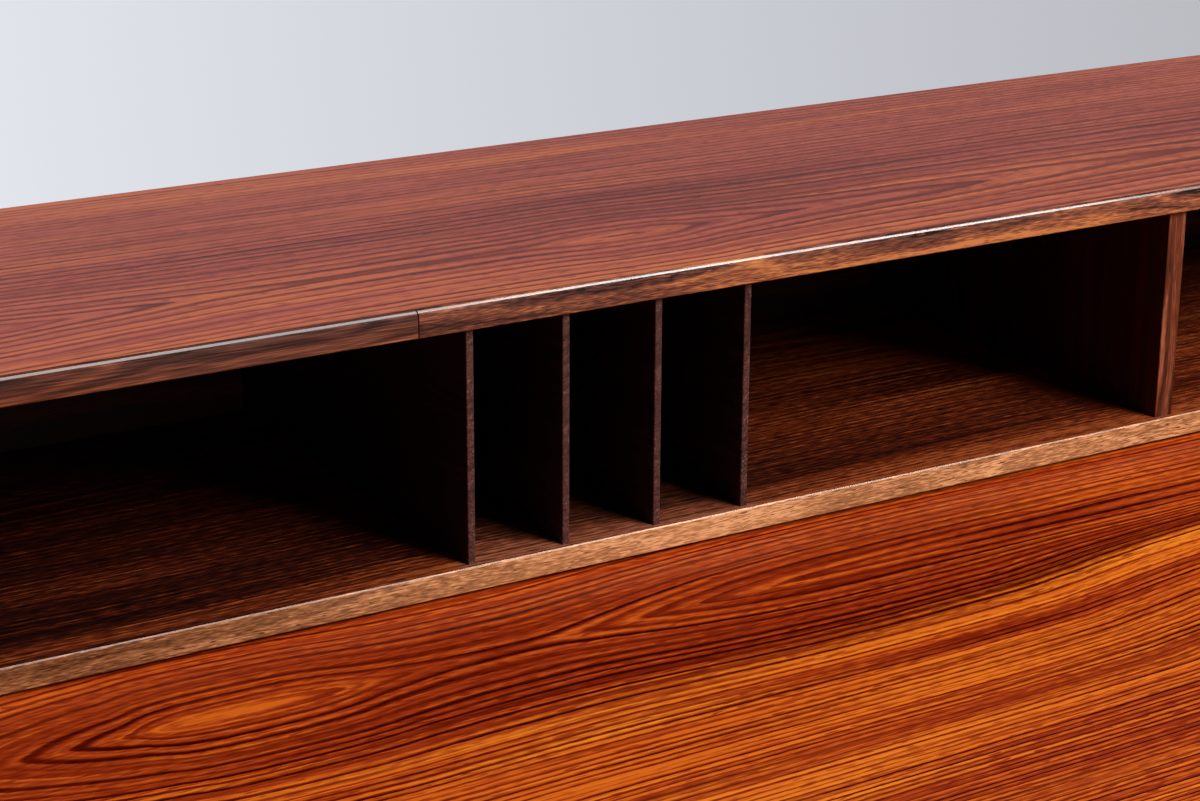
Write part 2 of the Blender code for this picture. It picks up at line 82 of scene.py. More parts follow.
class DeskEdges(bpy.types.PropertyGroup):
    """How the edges of the pieces are eased."""

    arris: bpy.props.FloatProperty(
        name="Arris",
        description="Width of the eased edge on case pieces",
        default=0.0007,
        unit="LENGTH",
    )
    box_arris: bpy.props.FloatProperty(
        name="Drawer box arris",
        description="Width of the eased edge on drawer boxes",
        default=0.0003,
        unit="LENGTH",
    )
    front_arris: bpy.props.FloatProperty(
        name="Drawer front arris",
        description="Width of the eased edge on drawer fronts",
        default=0.001,
        unit="LENGTH",
    )
    lipping_round: bpy.props.FloatProperty(
        name="Gallery lipping round",
        description="Radius on the gallery top's front edge",
        default=0.004,
        unit="LENGTH",
    )
    worn_flat: bpy.props.FloatProperty(
        name="Worn flat",
        description="Width of the worn flat on the gallery top's front edge",
        default=0.0013,
        unit="LENGTH",
    )
    desktop_round: bpy.props.FloatProperty(
        name="Desktop lipping round",
        description="Radius on the desktop's edges",
        default=0.006,
        unit="LENGTH",
    )
    floor_round: bpy.props.FloatProperty(
        name="Floor lipping round",
        description="Radius on the gallery floor's front edge and under the other lippings",
        default=0.001,
        unit="LENGTH",
    )
    divider_round: bpy.props.FloatProperty(
        name="Divider round",
        description="Radius on the dividers' front and rear edges",
        default=0.0008,
        unit="LENGTH",
    )
    leg_flat: bpy.props.FloatProperty(
        name="Leg flat",
        description="How deep a leg is planed against its pedestal",
        default=0.002,
        unit="LENGTH",
    )
    leg_foot: bpy.props.FloatProperty(
        name="Leg foot radius",
        description="Radius of a leg at the floor",
        default=0.013,
        unit="LENGTH",
    )


class DeskStage(bpy.types.PropertyGroup):
    """The light and the ground round the desk."""

    key_power: bpy.props.FloatProperty(
        name="Key",
        description="Power of the soft light at the front right",
        default=420.0,
        unit="POWER",
    )
    strip_power: bpy.props.FloatProperty(
        name="Strips",
        description="Power that the lights overhead take their shares of",
        default=42.0,
        unit="POWER",
    )
    rear_power: bpy.props.FloatProperty(
        name="Rear",
        description="Power of the soft light behind the desk",
        default=110.0,
        unit="POWER",
    )
    fill: bpy.props.FloatProperty(
        name="Fill",
        description="Strength of the light from all round",
        default=0.03,
        min=0.0,
    )
    floor_colour: bpy.props.FloatVectorProperty(
        name="Floor",
        description="Colour of the studio floor",
        default=(0.62, 0.635, 0.67),
        subtype="COLOR",
    )


def edges():
    return bpy.context.scene.desk_edges


# Shader graphs

SMALLEST_RANGE = 1e-6
MIX_COLOURS = (6, 7)
MIX_RESULT = 2
BUMP_STRENGTH = 0.5


class Value:
    """A node's socket in a Python expression. Each operator adds a Math node."""

    def __init__(self, graph, socket):
        self.graph = graph
        self.socket = socket

    def math(self, operation, *others):
        return self.graph.node("ShaderNodeMath", {"operation": operation}, dict(enumerate((self, *others))))

    def __add__(self, other):
        return self.math("ADD", other)

    __radd__ = __add__

    def __sub__(self, other):
        return self.math("SUBTRACT", other)

    def __rsub__(self, other):
        return self.graph.node("ShaderNodeMath", {"operation": "SUBTRACT"}, {0: other, 1: self})

    def __mul__(self, other):
        return self.math("MULTIPLY", other)

    __rmul__ = __mul__

    def __truediv__(self, other):
        return self.math("DIVIDE", other)

    def __rtruediv__(self, other):
        return self.graph.node("ShaderNodeMath", {"operation": "DIVIDE"}, {0: other, 1: self})

    def __pow__(self, other):
        return self.math("POWER", other)

    def step(self, low, high):
        """0 below low, 1 above high, smooth between."""
        limits = {"Value": self, "From Min": low, "From Max": high}
        return self.graph.node("ShaderNodeMapRange", {"interpolation_type": "SMOOTHSTEP"}, limits)


class Graph:
    """A shader's node tree, built from expressions on its values."""

    def __init__(self, tree):
        self.tree = tree
        tree.nodes.clear()

    def node(self, kind, settings=None, sockets=None, output=0):
        made = self.tree.nodes.new(kind)
        for name, setting in (settings or {}).items():
            setattr(made, name, setting)
        for key, value in (sockets or {}).items():
            socket = made.inputs[key]
            if isinstance(value, Value):
                self.tree.links.new(value.socket, socket)
            else:
                socket.default_value = value
        return None if output is None else Value(self, made.outputs[output])

    def split(self, vector):
        """The three parts of a vector."""
        return [self.node("ShaderNodeSeparateXYZ", {}, {0: vector}, index) for index in range(3)]

    def point(self, axes):
        """The place on the piece as three values, in the order that the axes give."""
        parts = dict(zip("xyz", self.split(self.node("ShaderNodeTexCoord", output="Object"))))
        return [parts[axis] for axis in axes]

    def noise(self, x, y, z, detail=2.0):
        place = self.node("ShaderNodeCombineXYZ", {}, {0: x, 1: y, 2: z})
        looks = {"Vector": place, "Scale": 1.0, "Detail": detail}
        return self.node("ShaderNodeTexNoise", {"noise_dimensions": "3D"}, looks)

    def sway(self, x, y, z):
        """Noise that goes to both sides of 0."""
        return self.noise(x, y, z, 1.0) - 0.5

    def chance(self, value):
        """A number from 0 to 1 that is fixed for each whole number."""
        return self.node("ShaderNodeTexWhiteNoise", {"noise_dimensions": "1D"}, {"W": value})

    def ramp(self, value, stops):
        made = self.node("ShaderNodeValToRGB", {}, {0: value})
        elements = made.socket.node.color_ramp.elements
        elements.remove(elements[-1])
        elements[0].position = stops[0][0]
        elements[0].color = (*stops[0][1], 1.0)
        for place, colour in stops[1:]:
            elements.new(place).color = (*colour, 1.0)
        return made

    def curve(self, value, points):
        """A smooth curve through pairs of value and result."""
        first, last = points[0][0], points[-1][0]
        low = min(result for _, result in points)
        high = max(max(result for _, result in points), low + SMALLEST_RANGE)
        made = self.node("ShaderNodeFloatCurve", {}, {"Value": (value - first) / (last - first)})
        mapping = made.socket.node.mapping
        line = mapping.curves[0]
        line.points[0].location = (0.0, (points[0][1] - low) / (high - low))
        line.points[1].location = (1.0, (points[-1][1] - low) / (high - low))
        for place, result in points[1:-1]:
            line.points.new((place - first) / (last - first), (result - low) / (high - low))
        mapping.update()
        return made * (high - low) + low

    def mix(self, factor, first, second):
        colours = dict(zip(MIX_COLOURS, (first, second)))
        return self.node("ShaderNodeMix", {"data_type": "RGBA"}, {0: factor, **colours}, MIX_RESULT)

    def finish(self, colour, roughness, height, depth, shine):
        bump = {"Height": height, "Strength": BUMP_STRENGTH, "Distance": depth}
        normal = self.node("ShaderNodeBump", {}, bump)
        looks = {"Base Color": colour, "Roughness": roughness, "Normal": normal, "Specular IOR Level": shine}
        shader = self.node("ShaderNodeBsdfPrincipled", {}, looks)
        self.node("ShaderNodeOutputMaterial", {}, {"Surface": shader}, None)


def new_material(name):
    material = bpy.data.materials.new(name)
    material.use_nodes = True
    return material, Graph(material.node_tree)


# Finishes


class Figure(NamedTuple):
    """How a piece is cut from its log, with lengths in metres.

    The axes run along the grain, across it and outwards. The heart is the pith's place across, the face
    the board's surface, and the leaf the width of a sheet of veneer, where each sheet has its own pith.
    Swell, wander and ripple make the lines uneven. The pith shows as far to the sides as the spread, and
    the rings crowd together away from it. Streak is how often hair lines change in a metre along the
    grain, and grain and speck are how often fibres and pores change along and across it.

    Pairs are the points of curves. They give the depth of the pith, the bend of the lines and how far
    across it reaches, the change of tone from ring to ring, across the board and along it, the slant of
    the tones across, the share of the second palette along the board, its gain across the board, and
    the strength of the lines. A smudge has its place along and across, its length and width, and its
    change of tone. On some pieces the changes of tone and the share also hold painted light and shade.
    """

    axes: str = "xyz"
    face: float = 0.0
    heart: float = 0.0
    leaf: float = 0.0
    pith: tuple = ((-1.0, 0.03), (1.0, 0.03))
    swell: float = 0.006
    wander: float = 0.02
    ripple: float = 0.003
    spread: float = 0.07
    ring: float = 0.008
    crowd: float = 1.0
    bend: tuple = ()
    reach: tuple = ()
    rings: tuple = ()
    zones: tuple = ()
    run: tuple = ()
    slant: tuple = ()
    blend: tuple = ()
    warm: tuple = ()
    calm: tuple = ()
    smudges: tuple = ()
    streak: float = 5.0
    grain: float = 95.0
    speck: float = 1300.0
    seed: float = 0.0


class Tones(NamedTuple):
    """The wood's tone, and how much ring lines, hair lines, colour bands, fibres and pores change it."""

    level: float = 0.6
    line: float = 0.4
    hair: float = 0.3
    band: float = 0.3
    fibre: float = 0.2
    pore: float = 0.2


# Palettes, from the dark lines to the bright wood

BRIGHT_RED = (
    (0.00, (0.042, 0.0020, 0.0004)),
    (0.20, (0.100, 0.0058, 0.0009)),
    (0.42, (0.190, 0.0145, 0.0024)),
    (0.66, (0.340, 0.0350, 0.0060)),
    (1.00, (0.680, 0.1280, 0.0100)),
)
BRIGHT_ORANGE = (
    (0.00, (0.046, 0.0030, 0.0004)),
    (0.20, (0.110, 0.0085, 0.0011)),
    (0.42, (0.220, 0.0280, 0.0034)),
    (0.66, (0.430, 0.0690, 0.0066)),
    (1.00, (0.910, 0.2500, 0.0180)),
)
DEEP_RED = (
    (0.00, (0.085, 0.0100, 0.0060)),
    (0.25, (0.135, 0.0160, 0.0095)),
    (0.50, (0.215, 0.0300, 0.0185)),
    (0.75, (0.330, 0.0560, 0.0340)),
    (1.00, (0.490, 0.1030, 0.0620)),
)
DEEP_ORANGE = (
    (0.00, (0.090, 0.0110, 0.0056)),
    (0.25, (0.150, 0.0192, 0.0098)),
    (0.50, (0.250, 0.0385, 0.0190)),
    (0.75, (0.420, 0.0820, 0.0320)),
    (1.00, (0.640, 0.1620, 0.0500)),
)
DARK_RED = (
    (0.00, (0.006, 0.002, 0.002)),
    (0.35, (0.030, 0.005, 0.0025)),
    (0.65, (0.120, 0.018, 0.0045)),
    (1.00, (0.320, 0.070, 0.0180)),
)
DARK_BROWN = (
    (0.00, (0.007, 0.003, 0.002)),
    (0.35, (0.032, 0.010, 0.005)),
    (0.65, (0.120, 0.028, 0.012)),
    (1.00, (0.300, 0.095, 0.048)),
)
CHOCOLATE = (
    (0.00, (0.008, 0.005, 0.005)),
    (0.30, (0.036, 0.013, 0.009)),
    (0.55, (0.118, 0.039, 0.024)),
    (0.80, (0.280, 0.086, 0.037)),
    (1.00, (0.500, 0.175, 0.055)),
)
PURPLE = (
    (0.00, (0.016, 0.007, 0.007)),
    (0.40, (0.060, 0.024, 0.020)),
    (0.70, (0.130, 0.055, 0.046)),
    (1.00, (0.300, 0.165, 0.140)),
)
GOLDEN = (
    (0.00, (0.090, 0.036, 0.016)),
    (0.35, (0.250, 0.100, 0.041)),
    (0.65, (0.450, 0.187, 0.073)),
    (1.00, (0.720, 0.350, 0.160)),
)
UMBER = (
    (0.00, (0.034, 0.010, 0.004)),
    (0.35, (0.097, 0.031, 0.011)),
    (0.65, (0.188, 0.064, 0.023)),
    (1.00, (0.370, 0.145, 0.058)),
)
STRAW = (
    (0.00, (0.200, 0.100, 0.045)),
    (0.40, (0.380, 0.215, 0.105)),
    (0.70, (0.480, 0.290, 0.150)),
    (1.00, (0.600, 0.390, 0.220)),
)

# How each piece is cut, and how its lines show

SHEET_CUT = Figure(leaf=0.25)
UPRIGHT_CUT = SHEET_CUT._replace(axes="zyx", seed=3.0)
GALLERY_TOP_CUT = Figure(
    face=0.8985,
    heart=0.1476,
    pith=((-0.9, 0.004), (-0.45, 0.006), (-0.35, 0.011), (-0.256, 0.022), (-0.17, 0.0295), (-0.10, 0.0305),
          (-0.03, 0.031), (0.05, 0.025), (0.10, 0.032), (0.16, 0.038), (0.28, 0.044), (0.40, 0.050),
          (0.9, 0.062)),
    swell=0.002,
    wander=0.010,
    ring=0.0066,
    crowd=0.2,
    zones=((0.07, 0.10), (0.10, 0.06), (0.15, 0.0), (0.20, -0.08), (0.24, -0.08), (0.29, 0.03),
           (0.34, 0.03), (0.37, 0.11), (0.38, 0.12)),
    run=((-0.9, 0.06), (-0.3, 0.06), (0.0, 0.02), (0.2, -0.04), (0.5, -0.04), (0.9, -0.02)),
    warm=((0.07, 0.8), (0.085, 0.6), (0.11, 0.15), (0.15, 0.0), (0.20, -0.3), (0.26, -0.2), (0.33, -0.15),
          (0.36, 0.0), (0.38, 0.15)),
    calm=((0.07, 0.9), (0.12, 1.0), (0.22, 1.0), (0.27, 0.8), (0.32, 0.65), (0.38, 0.55)),
    smudges=((0.12, 0.22, 0.16, 0.025, -0.15), (-0.38, 0.18, 0.10, 0.03, 0.12),
             (0.42, 0.20, 0.09, 0.02, 0.11), (0.36, 0.12, 0.10, 0.015, -0.12),
             (-0.18, 0.325, 0.05, 0.008, -0.13), (0.09, 0.315, 0.05, 0.008, -0.13),
             (0.55, 0.335, 0.06, 0.012, -0.12), (0.20, 0.265, 0.08, 0.010, -0.09),
             (-0.20, 0.272, 0.07, 0.010, -0.11)),
    speck=400.0,
    seed=2.0,
)
DESKTOP_CUT = Figure(
    face=0.735,
    heart=0.0025,
    pith=((-0.9, 0.080), (-0.50, 0.065), (-0.42, 0.056), (-0.375, 0.046), (-0.335, 0.034), (-0.312, 0.028),
          (-0.256, 0.018), (-0.175, 0.028), (-0.13, 0.032), (-0.09, 0.032), (-0.07, 0.030), (0.0, 0.018),
          (0.05, 0.009), (0.10, 0.004), (0.16, 0.002), (0.3, 0.0), (0.9, -0.006)),
    swell=0.002,
    wander=0.010,
    ripple=0.002,
    ring=0.0080,
    crowd=2.7,
    bend=((-0.9, 0.0), (0.06, 0.0), (0.16, 0.002), (0.2, 0.006), (0.25, 0.014), (0.32, 0.024),
          (0.45, 0.038), (0.9, 0.05)),
    reach=((-0.4, 1.0), (-0.06, 1.0), (-0.01, 0.1), (0.02, 0.0), (0.4, 0.0)),
    rings=((0.0, 0.02), (0.018, 0.02), (0.034, -0.03), (0.05, -0.06), (0.066, -0.03), (0.095, 0.08),
           (0.125, 0.03), (0.155, 0.10), (0.20, 0.04), (0.4, 0.0)),
    zones=((-0.4, 0.0), (-0.25, -0.02), (-0.222, -0.03), (-0.194, 0.13), (-0.182, 0.03), (-0.172, -0.04),
           (-0.160, 0.0), (-0.147, 0.12), (-0.132, -0.05), (-0.124, 0.05), (-0.107, -0.09), (-0.097, 0.0),
           (-0.087, 0.11), (-0.076, -0.04), (-0.065, -0.06), (-0.03, -0.06), (-0.008, -0.09), (0.02, -0.08),
           (0.05, -0.06), (0.4, 0.0)),
    smudges=((0.08, -0.058, 0.30, 0.020, -0.26), (-0.25, 0.0025, 0.055, 0.007, 0.34),
             (0.12, 0.004, 0.08, 0.013, 0.16), (-0.38, 0.0, 0.08, 0.06, 0.08),
             (0.31, 0.04, 0.07, 0.02, 0.12), (-0.16, -0.14, 0.08, 0.012, 0.12)),
    warm=((-0.4, 0.0), (-0.222, -0.35), (-0.194, 0.2), (-0.172, -0.35), (-0.147, 0.25), (-0.13, -0.2),
          (-0.107, -0.35), (-0.087, 0.3), (-0.06, 0.0), (-0.02, -0.5), (0.05, -0.5), (0.4, 0.0)),
    calm=((-0.4, 1.0), (-0.03, 1.0), (0.0, 0.85), (0.03, 0.75), (0.06, 0.65), (0.4, 0.8)),
    run=((-0.9, -0.04), (-0.3, 0.0), (-0.1, 0.0), (0.1, -0.03), (0.25, -0.02), (0.35, 0.01), (0.9, 0.0)),
    speck=520.0,
    seed=5.0,
)
# Painted light and shade: the zones lighten a strip along the floor's front edge where the key lamp reaches
# in, the run darkens the left bay and lightens the right, and the blend turns the slots pinker as painted
# light bounced between the dividers.
GALLERY_FLOOR_CUT_WITH_PAINTED_LIGHT = Figure(
    face=0.7515,
    heart=0.33,
    pith=((-1.0, 0.05), (1.0, 0.06)),
    ring=0.0060,
    seed=9.0,
    blend=((-0.5, 0.0), (-0.1, 0.0), (-0.085, 0.9), (0.085, 0.9), (0.1, 0.35), (0.2, 0.0), (0.5, 0.0)),
    zones=((0.07, 0.40), (0.083, 0.37), (0.092, 0.22), (0.102, 0.0), (0.12, -0.06), (0.16, 0.07),
           (0.24, 0.10), (0.38, 0.0)),
    run=((-0.5, -0.24), (-0.2, -0.20), (-0.1, -0.07), (-0.08, 0.01), (0.08, 0.01), (0.1, 0.0), (0.2, 0.07),
         (0.5, 0.14)),
    speck=700.0,
)
# The zones darken the lipping towards its top, partly as its own darker wood and partly as painted shade for
# the dark band along the top of its round.
LIPPING_CUT = Figure(
    axes="xzy",
    heart=0.93,
    pith=((-1.0, 0.02), (1.0, 0.02)),
    ring=0.0030,
    ripple=0.0025,
    streak=12.0,
    grain=130.0,
    speck=1400.0,
    seed=4.0,
    smudges=((0.235, 0.8885, 0.014, 0.004, 0.20), (0.335, 0.8895, 0.020, 0.004, 0.20)),
    zones=((0.70, 0.0), (0.865, 0.05), (0.878, 0.10), (0.8834, 0.22), (0.887, 0.12), (0.8915, -0.08),
           (0.8985, -0.20), (0.91, -0.20)),
    slant=((-0.9, 0.003), (-0.34, 0.002), (-0.2, -0.001), (-0.12, -0.018), (0.07, -0.018), (0.12, 0.0),
           (0.9, 0.0)),
    run=((-0.9, 0.0), (-0.36, 0.0), (-0.26, -0.10), (-0.18, -0.06), (-0.1, -0.05), (0.0, 0.0), (0.05, 0.22),
         (0.085, 0.24), (0.13, 0.24), (0.3, 0.30), (0.5, 0.2), (0.9, 0.0)),
    blend=((-0.9, 0.2), (-0.36, 0.2), (-0.2, 1.0), (0.9, 1.0)),
)
LIPPING_LEFT_CUT = LIPPING_CUT._replace(
    streak=7.0,
    grain=45.0,
    speck=1700.0,
    smudges=(),
    slant=(),
    run=((-0.9, 0.0), (-0.36, 0.02), (-0.26, 0.0), (-0.18, -0.05), (-0.1, -0.02)),
    zones=((0.865, 0.08), (0.8834, 0.18), (0.8865, 0.06), (0.8915, 0.0), (0.8985, -0.02)),
)
END_LIPPING_CUT = LIPPING_CUT._replace(axes="yzx", zones=(), run=(), blend=(), smudges=())
PALE_LIPPING_CUT = Figure(
    axes="xzy",
    heart=0.70,
    pith=((-1.0, 0.04), (1.0, 0.04)),
    ring=0.003,
    streak=14.0,
    grain=150.0,
    speck=1300.0,
    seed=8.0,
    blend=((-0.9, 0.2), (-0.35, 0.2), (-0.22, 0.42), (-0.08, 1.0), (0.9, 1.0)),
    run=((-0.9, -0.02), (-0.35, -0.02), (-0.2, -0.02), (0.0, 0.15), (0.08, 0.26), (0.10, 0.24),
         (0.15, 0.02), (0.9, 0.0)),
)
# Painted shade: the run darkens each divider behind its front edge, so that its sides look shaded.
DIVIDER_CUT_WITH_PAINTED_SHADE = Figure(
    axes="yzx",
    heart=0.9,
    run=((0.07, 0.0), (0.077, 0.0), (0.079, -0.4), (0.38, -0.4)),
    speck=1100.0,
    seed=11.0,
)
POST_CUT = Figure(
    axes="zxy",
    heart=0.40,
    ring=0.004,
    run=((0.74, -0.06), (0.80, 0.0), (0.88, 0.12)),
    seed=12.0,
)
LEG_CUT = Figure(axes="zxy", heart=0.82, seed=14.0)

PLAIN_TONES = Tones(level=0.66, line=0.55, hair=0.42, band=0.24, fibre=0.26, pore=0.3)
# A lower level for the posts' sides, as painted shade.
SHADED_INSIDE_TONES = Tones(level=0.36)
LINING_TONES = Tones(level=0.55, line=0.10, hair=0.20, band=0.15, fibre=0.2, pore=0.15)
SOLID_TONES = Tones(level=0.5, line=0.30, hair=0.35, band=0.30, fibre=0.3, pore=0.2)
TOP_TONES = Tones(level=0.89, line=0.72, hair=0.40, band=0.22, fibre=0.20, pore=0.20)
DESKTOP_TONES = Tones(level=0.80, line=0.82, hair=0.58, band=0.30, fibre=0.26, pore=0.24)
FLOOR_TONES = Tones(level=0.46, line=0.30, hair=0.60, band=0.30, fibre=0.60, pore=0.50)
LIPPING_TONES = Tones(level=0.54, line=0.32, hair=0.52, band=0.30, fibre=0.55, pore=0.45)
LIPPING_LEFT_TONES = Tones(level=0.54, line=0.20, hair=0.34, band=0.12, fibre=0.45, pore=0.3)
PALE_TONES = Tones(level=0.64, line=0.22, hair=0.44, band=0.20, fibre=0.8, pore=0.9)
DIVIDER_TONES = Tones(level=0.43, line=0.2, hair=0.3, band=0.20, fibre=0.8, pore=0.15)
POST_TONES = Tones(level=0.72, line=0.40, hair=0.60, band=0.40, fibre=0.30, pore=0.2)

# How often the patterns change in a metre along or across the grain, or in a ring, and how strong they are

HEART_ROUND = 0.002
LEAF_SHIFT = 40.0
DRIFT_ALONG = 1.6
DRIFT_ACROSS = 2.5
SWELL_ALONG = 7.0
SWELL_START = 4.0
RIPPLE_ALONG = 12.0
RIPPLE_ACROSS = 40.0
FRAY_ALONG = 130.0
FRAY_ACROSS = 600.0
FRAY_SHARE = 0.11
UNEVEN_ALONG = 0.5
UNEVEN_ACROSS = 30.0
UNEVEN_RINGS = 1.6
LINE_RISE = (0.42, 0.76)
LINE_FALL = (0.88, 1.0)
LINE_LEAST = 0.35
LINE_CHANCE = 0.75
FADE_ALONG = 4.5
FADE_BY_RING = 7.3
FADE_LIMITS = (0.32, 0.62)
FADED_LINE = 0.6
FADE_GAIN = 0.4
HAIRS_IN_RING = 3.0
BAND_ALONG = 1.8
BAND_ACROSS = 42.0
PORE_FINENESS = 1.2
PORE_LIMITS = (0.62, 0.76)
PORE_CONTRAST = 2.5
WAVER_ALONG = 9.0
WAVER_ACROSS = 60.0
WAVER_WIDTH = 0.006
WARMTH_ALONG = 2.6
WARMTH_ACROSS = 28.0
WARMTH_START = 9.0
WARMTH_LIMITS = (0.38, 0.74)
TINT_ALONG = 2.2
TINTS_IN_RING = 1.6
TINT_START = 5.0
TINT_CHANGE = 2.2
HAIR_ROUGHNESS = 0.1
HAIR_RELIEF = 0.25


def pith_distance(graph, figure, along, across, outward):
    """How far a point of the wood is from the middle of its log."""
    seed = figure.seed
    shift = seed
    middle = figure.heart
    if figure.leaf:
        leaf = (across / figure.leaf).math("FLOOR")
        shift = graph.chance(leaf + seed) * LEAF_SHIFT
        middle = (leaf + 0.5) * figure.leaf
    drift = graph.sway(along * DRIFT_ALONG + shift, across * DRIFT_ACROSS, outward * DRIFT_ACROSS + seed)
    swell = graph.sway(along * SWELL_ALONG + shift, SWELL_START + seed, outward)
    ripple = graph.sway(along * RIPPLE_ALONG + shift, across * RIPPLE_ACROSS, outward * RIPPLE_ACROSS)
    offset = across - middle + drift * (2.0 * figure.wander)
    below = graph.curve(along, figure.pith) + swell * (2.0 * figure.swell) + (outward - figure.face)
    side = (offset * offset + HEART_ROUND**2).math("SQRT")
    return side + below * (side / -figure.spread).math("EXPONENT") + ripple * figure.ripple


def ring_line(graph, seed, along, phase):
    """The dark line in each ring. Every ring has its own strength, and its line fades here and there."""
    ring = phase.math("FLOOR")
    place = phase - ring
    edge = place.step(*LINE_RISE) * (1.0 - place.step(*LINE_FALL))
    fade = graph.noise(along * FADE_ALONG, ring * FADE_BY_RING, seed, 1.0).step(*FADE_LIMITS)
    strength = LINE_LEAST + LINE_CHANCE * graph.chance(ring + seed)
    return edge * strength * (FADED_LINE + FADE_GAIN * fade)


def board_tone(graph, figure, tone, along, across, distance):
    """The tone with the lighter and darker places of one board, some of them painted light and shade."""
    if figure.rings:
        tone = tone + graph.curve(distance, figure.rings)
    if figure.zones:
        waver = graph.noise(along * WAVER_ALONG, across * WAVER_ACROSS, figure.seed) - 0.5
        shift = graph.curve(along, figure.slant) if figure.slant else 0.0
        tone = tone + graph.curve(across + waver * WAVER_WIDTH + shift, figure.zones)
    if figure.run:
        tone = tone + graph.curve(along, figure.run)
    for middle, level, length, width, change in figure.smudges:
        far = ((along - middle) / length) ** 2.0 + ((across - level) / width) ** 2.0
        tone = tone + (far * -1.0).math("EXPONENT") * change
    return tone


def second_share(graph, figure, along, across, distance, frayed):
    """The share of the second palette. It changes along the board, or else in bands and from line to line."""
    if figure.blend:
        share = graph.curve(along, figure.blend)
    else:
        lines = frayed * (TINTS_IN_RING / figure.ring)
        tint = graph.sway(lines + TINT_START, along * TINT_ALONG, figure.seed)
        warmth = graph.noise(distance * WARMTH_ACROSS + WARMTH_START, along * WARMTH_ALONG, figure.seed, 1.0)
        share = warmth.step(*WARMTH_LIMITS) + tint * TINT_CHANGE
    if figure.warm:
        share = (share + graph.curve(across, figure.warm)).math("MINIMUM", 1.0)
    return share


def wood(name, palettes, figure, tones, roughness, relief=0.0001, shine=0.5):
    """Wood with its rings, hair lines, colour bands, fibres and pores. Its two palettes run together."""
    material, graph = new_material(name)
    along, across, outward = graph.point(figure.axes)
    seed = figure.seed
    if figure.bend:
        across = across - graph.curve(along, figure.bend) * graph.curve(across, figure.reach)
    distance = pith_distance(graph, figure, along, across, outward)
    fray = graph.sway(along * FRAY_ALONG, across * FRAY_ACROSS, outward * FRAY_ACROSS)
    frayed = distance + fray * (FRAY_SHARE * figure.ring)
    spacing = figure.ring / (1.0 + distance * figure.crowd)
    uneven = graph.noise(distance * UNEVEN_ACROSS, seed, along * UNEVEN_ALONG)
    line = ring_line(graph, seed, along, frayed / spacing + uneven * UNEVEN_RINGS)
    hair = graph.sway(frayed * (HAIRS_IN_RING / figure.ring), along * figure.streak, seed)
    if figure.calm:
        calm = graph.curve(across, figure.calm)
        line = line * calm
        hair = hair * calm
    band = graph.sway(distance * BAND_ACROSS, along * BAND_ALONG, seed)
    fibre = graph.sway(along * figure.grain, across * figure.speck, outward * figure.speck)
    fine = PORE_FINENESS * figure.speck
    pore = graph.noise(along * figure.grain, across * fine, outward * fine + seed, 0.0).step(*PORE_LIMITS)
    tone = tones.level + hair * (2.0 * tones.hair) + band * (2.0 * tones.band) + fibre * (2.0 * tones.fibre)
    tone = tone - line * tones.line
    tone = tone - pore * tones.pore * (tone * PORE_CONTRAST - 1.0)
    tone = board_tone(graph, figure, tone, along, across, distance)
    share = second_share(graph, figure, along, across, distance, frayed)
    colour = graph.mix(share, graph.ramp(tone, palettes[0]), graph.ramp(tone, palettes[1]))
    graph.finish(colour, roughness + hair * HAIR_ROUGHNESS, hair * HAIR_RELIEF - pore, relief, shine)
    return material


